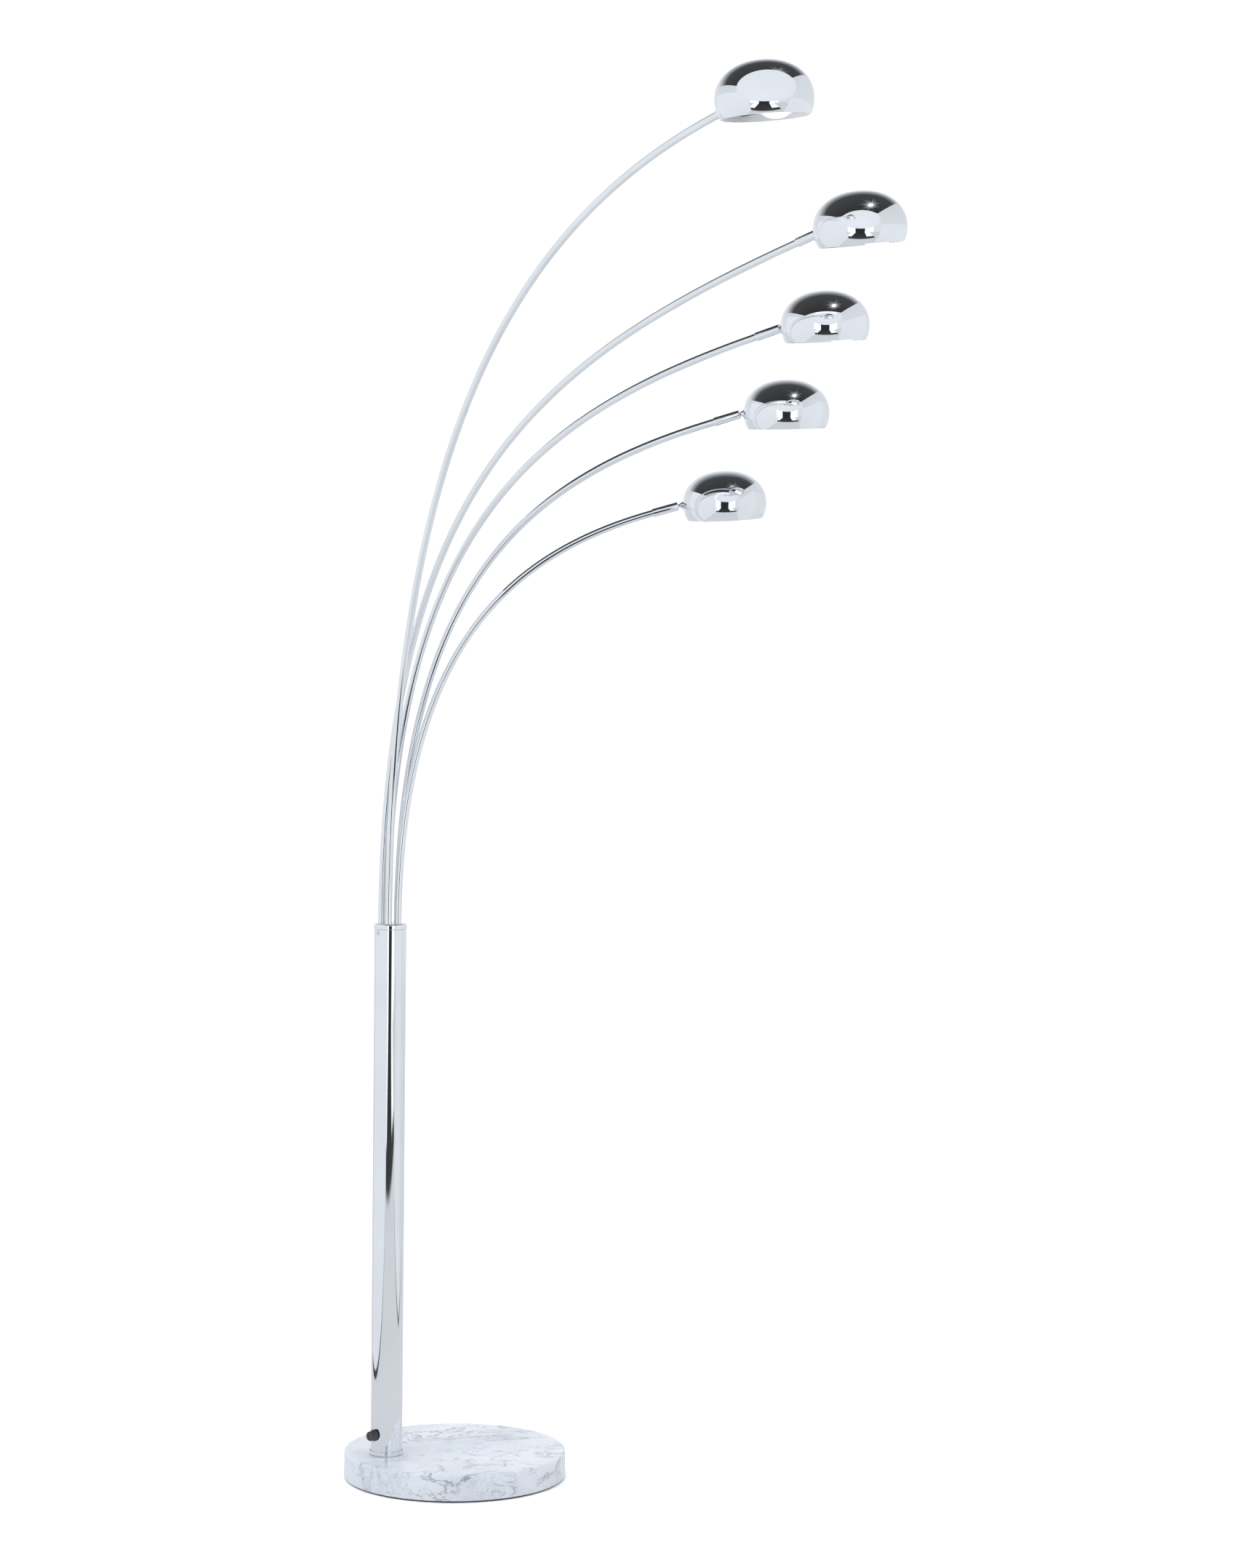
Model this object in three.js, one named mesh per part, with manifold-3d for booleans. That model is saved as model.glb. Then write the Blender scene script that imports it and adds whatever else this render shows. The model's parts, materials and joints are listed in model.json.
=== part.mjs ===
// Arc floor lamp: a round marble base, a chrome pole near its edge, and five
// bent chrome tubes that rise from the pole's cap and each carry a domed shade.
// Millimetres, +Z up. The origin is the middle of the base's underside, and +X
// points from the pole towards the middle of the base.
import * as THREE from "three";
import { mergeVertices } from "three/addons/utils/BufferGeometryUtils.js";
import Module from "manifold-3d";

const wasm = await Module();
wasm.setup();

// ---- Driving dimensions -------------------------------------------------

const GAP = 0.3; // clearance between pieces that touch

const PAD = { radius: 171, thick: 2 };
const MARBLE = { radius: 175, top: 43, edge: 4, chamfer: 1 };
const RECESS = { radius: 33, depth: 16 }; // under the marble, for the clamp parts

const POLE = { x: -113, radius: 25, wall: 1.5, bottom: 43.6, top: 869.5 };
const COLLAR = { inner: 25.6, outer: 26.5, height: 6.5 };
const FOOT_PLUG = { radius: 23.1, top: 62 };
const BOLT = { shank: 6, head: 10.97, headBottom: 7.2, headTop: 14.7, tip: 76 };
const BOLT_HOLE = BOLT.shank + 0.6; // radius
const CLAMP_WASHER = { radius: 28, thick: 3 };
const TIE_NUT_HEIGHT = 9;
const TERMINALS = { length: 22, width: 16, height: 14, middle: 94 };

const CAP = { radius: 25.9, bottom: 869.8, top: 878, edge: 2.5 };
const ARM_BLOCK = { radius: 23.1, bottom: 818, top: 869.2, ledge: 826 };
const SET_SCREW = { radius: 2.9, height: 864, inner: 15.9, outer: 25.2, key: 1.4, keyDepth: 2.5 };
const SET_SCREW_HEADINGS = [-156, 60];

// Pieces in the wall near the pole's foot. Their lengths run outwards from the
// pole's axis.
const DIMMER = { heading: 207.5, height: 76, shaft: 2.8, bush: 4, bushEnd: 29, shaftEnd: 18.4 };
const DIMMER_CAN = { radius: 7.5, from: 12.5, to: 21.4 };
const CORD_BUSHING = { heading: 70, height: 70, neck: 4.4, bore: 2.9 };

// The arms. Each stands in its own hole of the cap, on a ring of five, and
// bends over in one upright plane. Reach and rise run from the cap's hole to
// the mouth of the arm's end sleeve. The pulls shape the bend: how much of the
// rise stays near upright, and how much of the reach lies near the end slope.
// Heading and slope are in degrees, and so are the rest tilt and roll of the
// shade on its ball.
const ARMS = [
  { heading: -80, reach: 976, rise: 1164, slope: 9.5, footPull: 0.65, endPull: 0.59, tilt: 0.5, roll: 5 },
  { heading: -63.5, reach: 854, rise: 1020, slope: 16, footPull: 0.69, endPull: 0.6, tilt: 1.2, roll: 7 },
  { heading: -49, reach: 646, rise: 907, slope: 16, footPull: 0.7, endPull: 0.6, tilt: 1.2, roll: 4 },
  { heading: -35, reach: 509, rise: 788, slope: 16, footPull: 0.7, endPull: 0.59, tilt: 0.5, roll: 4 },
  { heading: -20, reach: 396, rise: 649, slope: 16, footPull: 0.67, endPull: 0.59, tilt: 3, roll: 5 },
];
const ARM_RING = { radius: 14, firstAngle: -120, step: -72 };
const ARM_HOLE = 6; // radius
const WIRE_HOLE = 3.5; // radius
const TUBE = { radius: 5.5, bore: 4.4, intoSleeve: 18.5 };
const SLEEVE = { radius: 6.8, length: 41, bore: 6, throat: 3.5, socket: 4.1, socketDepth: 10 };

const BALL = { radius: 3.2, beyondSleeve: 3.5, neck: 1.8, stem: 3.6, bore: 0.9 };
const SOCKET = { inner: 3.5, outer: 4.4, flange: 6.2, nipple: 4, nippleEnd: 16, bore: 2 };
const BALL_TO_WALL = 3.5; // from the ball's centre to the shade's wall

// The shade is one superellipse turned about its axis, cut off below its widest
// level: half width, half height above the widest level, depth of the rim below
// it, and the exponent.
const SHADE = { half: 66.5, rise: 52, rim: 24, power: 2.15, wall: 1.2, hole: 4.6 };
const SHADE_AXIS = BALL_TO_WALL + SHADE.half; // from the ball's centre

const HOLDER = { back: 6.6, front: 46, radius: 17, cavity: 14, floor: 20, shoulder: 9 };
const BULB_CAP = { radius: 13.2, back: 20.8, front: 45.7 };
const BULB = {
  radius: 29.3,
  centre: SHADE_AXIS + 26.6,
  neck: 12.6,
  neckStart: 46,
  neckLength: 14,
  glass: 1,
};

// ---- Materials ----------------------------------------------------------

function finish(color, roughness, metalness) {
  return new THREE.MeshStandardMaterial({ color, roughness, metalness });
}
const chrome = finish(0xd9dce2, 0.08, 1);
const steel = finish(0x8c8f94, 0.4, 1);
const brass = finish(0xb79a5b, 0.35, 1);
const marble = finish(0xe1e4ec, 0.2, 0);
const felt = finish(0x1e1e20, 0.9, 0);
const blackPlastic = finish(0x17171a, 0.45, 0);
const whitePlastic = finish(0xe9e7e2, 0.5, 0);
const glass = finish(0xf6f5f0, 0.15, 0);

// ---- Helpers ------------------------------------------------------------

const rad = THREE.MathUtils.degToRad;

function toSolid(geometry) {
  const bare = geometry.index ? geometry.toNonIndexed() : geometry.clone();
  bare.deleteAttribute("normal");
  bare.deleteAttribute("uv");
  const merged = mergeVertices(bare, 1e-3);
  const mesh = new wasm.Mesh({
    numProp: 3,
    vertProperties: merged.attributes.position.array,
    triVerts: new Uint32Array(merged.index.array),
  });
  return new wasm.Manifold(mesh);
}

function toGeometry(solid) {
  const mesh = solid.getMesh();
  const geometry = new THREE.BufferGeometry();
  geometry.setAttribute("position", new THREE.BufferAttribute(mesh.vertProperties, 3));
  geometry.setIndex(new THREE.BufferAttribute(mesh.triVerts, 1));
  geometry.computeVertexNormals();
  return geometry;
}

function cut(body, tools) {
  let solid = toSolid(body);
  for (const tool of tools) solid = solid.subtract(toSolid(tool));
  return toGeometry(solid);
}

function join(pieces) {
  let solid = toSolid(pieces[0]);
  for (const piece of pieces.slice(1)) solid = solid.add(toSolid(piece));
  return toGeometry(solid);
}

// Turns a profile of [radius, height] points about the Z axis. The profile runs
// upwards on the outside, and starts and ends on the axis.
function turned(profile, sides) {
  const points = profile.map(([r, z]) => new THREE.Vector2(r, z));
  return new THREE.LatheGeometry(points, sides).rotateX(Math.PI / 2);
}

// A turned ring: its profile closes on itself, clear of the axis.
function turnedRing(profile, sides) {
  return turned([...profile, profile[0]], sides);
}

// The same two shapes, lying along +X instead of standing along +Z.
function turnedAlongX(profile, sides) {
  return turned(profile, sides).rotateY(Math.PI / 2);
}
function ringAlongX(profile, sides) {
  return turnedRing(profile, sides).rotateY(Math.PI / 2);
}

// A plain cylinder from one height to another, for cutting holes and for shanks.
function post(radius, from, to, sides) {
  return turned([[0, from], [radius, from], [radius, to], [0, to]], sides);
}

// A quarter circle of profile points, from one angle to another.
function arc(centreR, centreZ, radius, fromDeg, toDeg, steps) {
  const points = [];
  for (let i = 0; i <= steps; i++) {
    const a = rad(fromDeg + ((toDeg - fromDeg) * i) / steps);
    points.push([centreR + radius * Math.cos(a), centreZ + radius * Math.sin(a)]);
  }
  return points;
}

function piece(name, geometry, material) {
  const mesh = new THREE.Mesh(geometry, material);
  mesh.name = name;
  return mesh;
}

// Turns a geometry that lies along +X to face a heading, at a height on the pole.
function facing(geometry, headingDeg, height) {
  return geometry.rotateZ(rad(headingDeg)).translate(0, 0, height);
}

// A cutter for a round hole that runs outwards through the pole's wall.
function holeOut(radius, from, sides, headingDeg, height) {
  const beyond = POLE.radius + 5;
  return facing(post(radius, from, beyond, sides).rotateY(Math.PI / 2), headingDeg, height);
}

function armHole(index) {
  const a = rad(ARM_RING.firstAngle + ARM_RING.step * index);
  return [ARM_RING.radius * Math.cos(a), ARM_RING.radius * Math.sin(a)];
}

// ---- Base ---------------------------------------------------------------

function basePad() {
  return post(PAD.radius, 0, PAD.thick, 48);
}

function marbleBase() {
  const { radius, top, edge, chamfer } = MARBLE;
  const bottom = PAD.thick + GAP;
  const profile = [
    [0, bottom],
    [radius - chamfer, bottom],
    [radius, bottom + chamfer],
    ...arc(radius - edge, top - edge, edge, 0, 90, 3),
    [0, top],
  ];
  const boltHole = post(BOLT.shank + 1, 0, top + 1, 12).translate(POLE.x, 0, 0);
  const recess = post(RECESS.radius, 0, bottom + RECESS.depth, 24).translate(POLE.x, 0, 0);
  return cut(turned(profile, 60), [boltHole, recess]);
}

function clampWasher() {
  const top = PAD.thick + RECESS.depth;
  const bottom = top - CLAMP_WASHER.thick;
  const outer = CLAMP_WASHER.radius;
  return turnedRing([[BOLT_HOLE, bottom], [outer, bottom], [outer, top], [BOLT_HOLE, top]], 24);
}

function tieBolt() {
  const head = post(BOLT.head, BOLT.headBottom, BOLT.headTop, 6);
  const shank = post(BOLT.shank, BOLT.headTop - 1, BOLT.tip, 12);
  return join([head, shank]);
}

function tieNut() {
  const bottom = FOOT_PLUG.top + GAP;
  const top = bottom + TIE_NUT_HEIGHT;
  const nut = post(BOLT.head, bottom, top, 6);
  return cut(nut, [post(BOLT_HOLE, bottom - 1, top + 1, 12)]);
}

function footPlug() {
  const { radius, top } = FOOT_PLUG;
  const bottom = POLE.bottom;
  return turnedRing([[BOLT_HOLE, bottom], [radius, bottom], [radius, top], [BOLT_HOLE, top]], 20);
}

function footCollar() {
  const bottom = MARBLE.top + GAP;
  const top = bottom + COLLAR.height;
  const { inner, outer } = COLLAR;
  const chamfer = 0.5;
  const profile = [
    [inner, bottom],
    [outer, bottom],
    [outer, top - chamfer],
    [outer - chamfer, top],
    [inner, top],
  ];
  return turnedRing(profile, 24);
}

// ---- Pole ---------------------------------------------------------------

function pole() {
  const { radius, wall, bottom, top } = POLE;
  const inner = radius - wall;
  const tube = turnedRing([[inner, bottom], [radius, bottom], [radius, top], [inner, top]], 32);
  const from = inner - 3;
  const holes = SET_SCREW_HEADINGS.map((heading) =>
    holeOut(SET_SCREW.radius + 0.4, from, 8, heading, SET_SCREW.height),
  );
  holes.push(holeOut(DIMMER.bush + 0.4, from, 10, DIMMER.heading, DIMMER.height));
  holes.push(holeOut(CORD_BUSHING.neck + 0.4, from, 10, CORD_BUSHING.heading, CORD_BUSHING.height));
  return cut(tube, holes);
}

function armBlock() {
  const { radius, bottom, top, ledge } = ARM_BLOCK;
  const tools = [];
  ARMS.forEach((arm, index) => {
    const [x, y] = armHole(index);
    tools.push(post(ARM_HOLE, ledge, top + 1, 12).translate(x, y, 0));
    tools.push(post(WIRE_HOLE, bottom - 1, ledge + 1, 6).translate(x, y, 0));
  });
  for (const heading of SET_SCREW_HEADINGS) {
    tools.push(holeOut(SET_SCREW.radius + 0.4, SET_SCREW.inner - GAP, 8, heading, SET_SCREW.height));
  }
  return cut(post(radius, bottom, top, 24), tools);
}

function poleCap() {
  const { radius, bottom, top, edge } = CAP;
  const profile = [
    [0, bottom],
    [radius, bottom],
    ...arc(radius - edge, top - edge, edge, 0, 90, 2),
    [0, top],
  ];
  const holes = ARMS.map((arm, index) => {
    const [x, y] = armHole(index);
    return post(ARM_HOLE, bottom - 1, top + 1, 12).translate(x, y, 0);
  });
  return cut(turned(profile, 32), holes);
}

function setScrew(headingDeg) {
  const { radius, inner, outer, height, key, keyDepth } = SET_SCREW;
  const profile = [
    [0, inner],
    [radius, inner],
    [radius, outer - 0.4],
    [radius - 0.4, outer],
    [key, outer],
    [key, outer - keyDepth],
    [0, outer - keyDepth],
  ];
  return facing(turnedAlongX(profile, 8), headingDeg, height);
}

// The rotary dimmer: a potentiometer inside the pole, whose threaded bush comes
// out through the wall.
function dimmerBody() {
  const { bush, bushEnd, shaft, shaftEnd, heading, height } = DIMMER;
  const { radius, from, to } = DIMMER_CAN;
  const shaftHole = shaft + 0.3;
  const profile = [
    [0, from],
    [radius, from],
    [radius, to],
    [bush, to],
    [bush, bushEnd],
    [shaftHole, bushEnd],
    [shaftHole, shaftEnd - 0.4],
    [0, shaftEnd - 0.4],
  ];
  return facing(turnedAlongX(profile, 12), heading, height);
}

function dimmerNut() {
  const { bush, heading, height } = DIMMER;
  const inner = bush + 0.5;
  const outer = 6.2;
  const back = POLE.radius + 0.4;
  const front = back + 1.8;
  const ring = ringAlongX([[inner, back], [outer, back], [outer, front], [inner, front]], 12);
  return facing(ring, heading, height);
}

// The knob and the shaft it is pressed on turn as one. Its skirt covers the nut.
function dimmerKnob() {
  const { shaft, shaftEnd, bushEnd, heading, height } = DIMMER;
  const skirt = { inner: 6.9, outer: 9.1, back: 26.2, front: 28.5 };
  const face = { outer: 7.2, flat: 6.2, edge: 36.4, front: 37.4 };
  const profile = [
    [0, shaftEnd],
    [shaft, shaftEnd],
    [shaft, bushEnd + 1],
    [skirt.inner, bushEnd + 1],
    [skirt.inner, skirt.back],
    [skirt.outer, skirt.back],
    [skirt.outer, skirt.front],
    [face.outer, face.edge],
    [face.flat, face.front],
    [0, face.front],
  ];
  return facing(turnedAlongX(profile, 12), heading, height);
}

// The bushing for the supply lead: its neck fills the hole, and its flange is outside.
function cordBushing() {
  const { heading, height, neck, bore } = CORD_BUSHING;
  const flange = { wide: 6.6, narrow: 5.6, back: POLE.radius + 0.4, front: POLE.radius + 3.4 };
  const inside = 20.5;
  const profile = [
    [bore, inside],
    [neck, inside],
    [neck, flange.back],
    [flange.wide, flange.back],
    [flange.narrow, flange.front],
    [bore, flange.front],
  ];
  return facing(ringAlongX(profile, 10), heading, height);
}

function terminalBlock() {
  const { length, width, height, middle } = TERMINALS;
  return new THREE.BoxGeometry(length, width, height).translate(0, 0, middle);
}

// ---- Arms and heads -----------------------------------------------------

// The arm's centre line in its own plane: +X outwards, +Z up from the cap's top.
function armPath({ reach, rise, slope, footPull, endPull }) {
  const out = new THREE.Vector3(Math.cos(rad(slope)), 0, Math.sin(rad(slope)));
  const foot = new THREE.Vector3(0, 0, ARM_BLOCK.ledge + GAP - CAP.top);
  const capTop = new THREE.Vector3(0, 0, 0);
  const mouth = new THREE.Vector3(reach, 0, rise);
  const end = mouth.clone().addScaledVector(out, TUBE.intoSleeve);
  const footHandle = new THREE.Vector3(0, 0, footPull * rise);
  const endHandle = mouth.clone().addScaledVector(out, -endPull * reach);
  const path = new THREE.CurvePath();
  path.add(new THREE.LineCurve3(foot, capTop));
  path.add(new THREE.CubicBezierCurve3(capTop, footHandle, endHandle, mouth));
  path.add(new THREE.LineCurve3(mouth, end));
  return path;
}

function circle(target, radius, sides) {
  for (let i = 0; i < sides; i++) {
    const a = (2 * Math.PI * i) / sides;
    if (i === 0) target.moveTo(radius, 0);
    else target.lineTo(radius * Math.cos(a), radius * Math.sin(a));
  }
  target.closePath();
  return target;
}

function armTube(arm) {
  const section = circle(new THREE.Shape(), TUBE.radius, 8);
  section.holes.push(circle(new THREE.Path(), TUBE.bore, 6));
  const extrudePath = armPath(arm);
  return new THREE.ExtrudeGeometry(section, { extrudePath, steps: 23 });
}

function endSleeve() {
  const { radius, length, bore, throat, socket, socketDepth } = SLEEVE;
  const boreEnd = TUBE.intoSleeve + 1;
  const profile = [
    [bore, 0],
    [radius, 0.01],
    [radius, length - 0.8],
    [radius - 0.8, length],
    [socket, length],
    [socket, length - socketDepth],
    [throat, length - socketDepth],
    [throat, boreEnd],
    [bore, boreEnd],
  ];
  return ringAlongX(profile, 12);
}

// The ball stud, about the ball's centre: its stem turns in the sleeve.
function ballStud() {
  const { radius, beyondSleeve, neck, stem, bore } = BALL;
  const stemBack = -beyondSleeve - SLEEVE.socketDepth + GAP;
  const profile = [
    [bore, stemBack],
    [stem, stemBack],
    [stem, -beyondSleeve - 0.4],
    [neck, -beyondSleeve],
    ...arc(0, 0, radius, -56, 70, 4),
    [bore, radius * Math.sin(rad(70))],
  ];
  return ringAlongX(profile, 8);
}

// The cup that holds the ball. Its flange rests on the shade's outside, and its
// threaded nipple goes through the wall into the lamp holder.
function ballSocket() {
  const { inner, outer, flange, nipple, nippleEnd, bore } = SOCKET;
  const face = BALL_TO_WALL - GAP;
  const profile = [
    [inner, 0],
    [outer, 0.01],
    [outer, face - 1],
    [flange, face - 0.8],
    [flange, face],
    [nipple, face],
    [nipple, nippleEnd],
    [bore, nippleEnd],
    ...arc(0, 0, inner, 55, 6, 3),
  ];
  return ringAlongX(profile, 10);
}

// Points of the shade's outline, from the rim to the crown.
function shadeOutline(half, rise, steps) {
  const rimAngle = -Math.asin((SHADE.rim / rise) ** (SHADE.power / 2));
  const points = [];
  for (let i = 0; i < steps; i++) {
    const a = rimAngle + ((Math.PI / 2 - rimAngle) * i) / steps;
    const r = half * Math.abs(Math.cos(a)) ** (2 / SHADE.power);
    const z = rise * Math.sign(a) * Math.abs(Math.sin(a)) ** (2 / SHADE.power);
    points.push([r, z]);
  }
  points.push([0, rise]);
  return points;
}

function shade() {
  const { half, rise, wall, hole } = SHADE;
  const outside = shadeOutline(half, rise, 7);
  const inside = shadeOutline(half - wall, rise - wall, 7);
  const shell = turned([...inside.reverse(), ...outside], 24);
  shell.translate(SHADE_AXIS, 0, 0);
  const nippleHole = post(hole, 0, 20, 12).rotateY(Math.PI / 2);
  return cut(shell, [nippleHole]);
}

function lampHolder() {
  const { back, front, radius, cavity, floor, shoulder } = HOLDER;
  const nippleHole = SOCKET.nipple + 0.4;
  const wireHole = 2;
  const profile = [
    [nippleHole, back],
    [shoulder, back],
    [radius - 1, back + 8],
    [radius, back + 10],
    [radius, front],
    [cavity, front],
    [cavity, floor],
    [wireHole, floor],
    [wireHole, SOCKET.nippleEnd + 1],
    [nippleHole, SOCKET.nippleEnd + 1],
  ];
  return ringAlongX(profile, 12);
}

function bulbCap() {
  const { radius, back, front } = BULB_CAP;
  const tip = 5; // radius of the end contact, and the length of the cone behind it
  const profile = [[0, back], [tip, back], [radius, back + tip], [radius, front], [0, front]];
  return turnedAlongX(profile, 10);
}

// The glass bulb: a neck that swells into a globe, open at the neck.
function bulbGlass() {
  const { radius, centre, neck, neckStart, neckLength, glass: thick } = BULB;
  const outline = (r, neckR) => [
    [neckR, neckStart],
    [neckR + 2, neckStart + neckLength],
    ...arc(0, centre, r, -48, 72, 4),
    [0, centre + r],
  ];
  const outside = outline(radius, neck);
  const inside = outline(radius - thick, neck - thick);
  return turnedAlongX([...inside.reverse(), ...outside], 10);
}

// ---- Assembly -----------------------------------------------------------

const lamp = new THREE.Group();
lamp.add(piece("marble_base", marbleBase(), marble));
lamp.add(piece("base_pad", basePad(), felt));

const column = new THREE.Group();
column.position.x = POLE.x;
lamp.add(column);
column.add(piece("clamp_washer", clampWasher(), steel));
column.add(piece("tie_bolt", tieBolt(), steel));
column.add(piece("tie_nut", tieNut(), steel));
column.add(piece("foot_plug", footPlug(), steel));
column.add(piece("foot_collar", footCollar(), chrome));
column.add(piece("pole", pole(), chrome));
column.add(piece("arm_block", armBlock(), steel));
column.add(piece("pole_cap", poleCap(), chrome));
column.add(piece("set_screw_front", setScrew(SET_SCREW_HEADINGS[0]), chrome));
column.add(piece("set_screw_back", setScrew(SET_SCREW_HEADINGS[1]), chrome));
column.add(piece("dimmer_body", dimmerBody(), steel));
column.add(piece("dimmer_nut", dimmerNut(), steel));
column.add(piece("dimmer_knob", dimmerKnob(), blackPlastic));
column.add(piece("cord_bushing", cordBushing(), blackPlastic));
column.add(piece("terminal_block", terminalBlock(), whitePlastic));

ARMS.forEach((arm, index) => {
  const number = index + 1;
  const [x, y] = armHole(index);

  const armGroup = new THREE.Group();
  armGroup.position.set(x, y, CAP.top);
  armGroup.rotation.z = rad(arm.heading);
  armGroup.add(piece(`arm_tube_${number}`, armTube(arm), chrome));
  column.add(armGroup);

  const sleeveGroup = new THREE.Group();
  sleeveGroup.position.set(arm.reach, 0, arm.rise);
  sleeveGroup.rotation.y = -rad(arm.slope);
  sleeveGroup.add(piece(`end_sleeve_${number}`, endSleeve(), chrome));
  armGroup.add(sleeveGroup);

  const ballGroup = new THREE.Group();
  ballGroup.position.x = SLEEVE.length + BALL.beyondSleeve;
  ballGroup.rotation.x = rad(arm.roll);
  ballGroup.add(piece(`ball_stud_${number}`, ballStud(), chrome));
  sleeveGroup.add(ballGroup);

  const headGroup = new THREE.Group();
  headGroup.rotation.y = rad(arm.slope - arm.tilt);
  headGroup.add(piece(`ball_socket_${number}`, ballSocket(), chrome));
  headGroup.add(piece(`shade_${number}`, shade(), chrome));
  headGroup.add(piece(`lamp_holder_${number}`, lampHolder(), blackPlastic));
  headGroup.add(piece(`bulb_cap_${number}`, bulbCap(), brass));
  headGroup.add(piece(`bulb_glass_${number}`, bulbGlass(), glass));
  ballGroup.add(headGroup);
});

export default lamp;
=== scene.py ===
import json
import math

import bpy
from mathutils import Matrix, Vector


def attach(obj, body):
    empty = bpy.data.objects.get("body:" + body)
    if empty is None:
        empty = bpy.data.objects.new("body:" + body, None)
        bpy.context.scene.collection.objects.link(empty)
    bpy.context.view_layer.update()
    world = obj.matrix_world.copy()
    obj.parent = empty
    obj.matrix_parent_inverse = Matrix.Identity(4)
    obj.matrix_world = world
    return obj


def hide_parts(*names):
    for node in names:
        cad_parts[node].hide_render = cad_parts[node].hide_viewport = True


# Arc floor lamp: the looks. The arms' holes and the shades' balls are read from
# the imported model's joints. The other lengths follow the CAD's, or stay just
# inside them. They are named here in millimetres, and MM turns them into metres.

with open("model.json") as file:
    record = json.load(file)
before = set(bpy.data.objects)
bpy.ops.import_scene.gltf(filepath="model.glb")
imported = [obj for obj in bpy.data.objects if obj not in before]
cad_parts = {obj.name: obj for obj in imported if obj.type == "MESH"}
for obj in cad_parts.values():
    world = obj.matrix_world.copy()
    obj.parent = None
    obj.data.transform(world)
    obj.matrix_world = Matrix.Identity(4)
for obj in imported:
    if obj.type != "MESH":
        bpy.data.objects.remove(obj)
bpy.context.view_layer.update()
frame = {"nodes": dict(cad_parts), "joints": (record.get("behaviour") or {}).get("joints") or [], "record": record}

MM = 0.001
ARM_COUNT = 5
SMOOTH_ANGLE = 32  # faces that meet at more than this many degrees keep a sharp edge

POLE_X = -113
POLE = {"radius": 25, "wall": 1.5, "bottom": 43.6, "top": 869.5}
CAP = {"radius": 25.9, "bottom": 869.8, "top": 878, "edge": 2.5}
SCREW = {"radius": 2.9, "height": 864, "inner": 15.9, "outer": 25.1}
SCREW_HEADINGS = {"front": -156, "back": 60}
DIMMER = {"heading": 207.5, "height": 76, "hole": 4.4}
CORD_BUSHING = {"heading": 70, "height": 70, "hole": 4.7}
WALL_CUT = (20, 30)  # a hole through the pole's wall is cut between these radii

# How each arm bends (see arm_path) and how its shade rests on its ball.
FOOT_PULL = [0.65, 0.69, 0.70, 0.70, 0.67]
END_PULL = [0.59, 0.60, 0.60, 0.59, 0.59]
REST_TILT = [0.5, 1.2, 1.2, 0.5, 3.0]
FOOT_DEPTH = 51.7
TUBE = {"radius": 5.5, "bore": 4.4, "into_sleeve": 18.5}
SLEEVE = {"length": 41, "radius": 6.8}
GRUB_SCREW = {"from_mouth": 9, "turn": 50, "radius": 1.5, "inner": 5.6, "outer": 6.7}
BALL_BEYOND_SLEEVE = 3.5

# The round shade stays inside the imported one, which has flat sides.
SHADE = {"half": 65.85, "rise": 51.5, "rim": 24, "power": 2.15, "wall": 1.2}
SHADE_AXIS = 70
NIPPLE_HOLE = 4.5
BULB = {"radius": 29.3, "centre": 96.6}


# ---- Geometry helpers ---------------------------------------------------


def heading_matrix(heading, height):
    """Puts a piece made along +X so that it points out of the pole at a heading."""
    place = Matrix.Translation((POLE_X * MM, 0, height * MM))
    return place @ Matrix.Rotation(math.radians(heading), 4, "Z")


def arc(centre_r, centre_x, radius, start, end, steps):
    """Profile points on a circle, from one angle to another, in degrees."""
    points = []
    for i in range(steps + 1):
        a = math.radians(start + (end - start) * i / steps)
        points.append((centre_r + radius * math.cos(a), centre_x + radius * math.sin(a)))
    return points


def eased(profile, radius, closed=True, steps=4):
    """The profile with every corner rounded off, by up to the radius."""
    count = len(profile)
    points = []
    for i, corner in enumerate(profile):
        if not closed and i in (0, count - 1):
            points.append(corner)
            continue
        here = Vector(corner)
        before = Vector(profile[i - 1])
        after = Vector(profile[(i + 1) % count])
        cut_in = min(radius, (before - here).length * 0.45)
        cut_out = min(radius, (after - here).length * 0.45)
        start = here + (before - here).normalized() * cut_in
        end = here + (after - here).normalized() * cut_out
        for k in range(steps + 1):
            t = k / steps
            points.append(tuple((1 - t) ** 2 * start + 2 * t * (1 - t) * here + t * t * end))
    return points


def new_mesh(name, verts, faces):
    mesh = bpy.data.meshes.new(name)
    mesh.from_pydata(verts, [], faces)
    mesh.update()
    mesh.shade_smooth()
    mesh.set_sharp_from_angle(angle=math.radians(SMOOTH_ANGLE))
    return mesh


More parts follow.
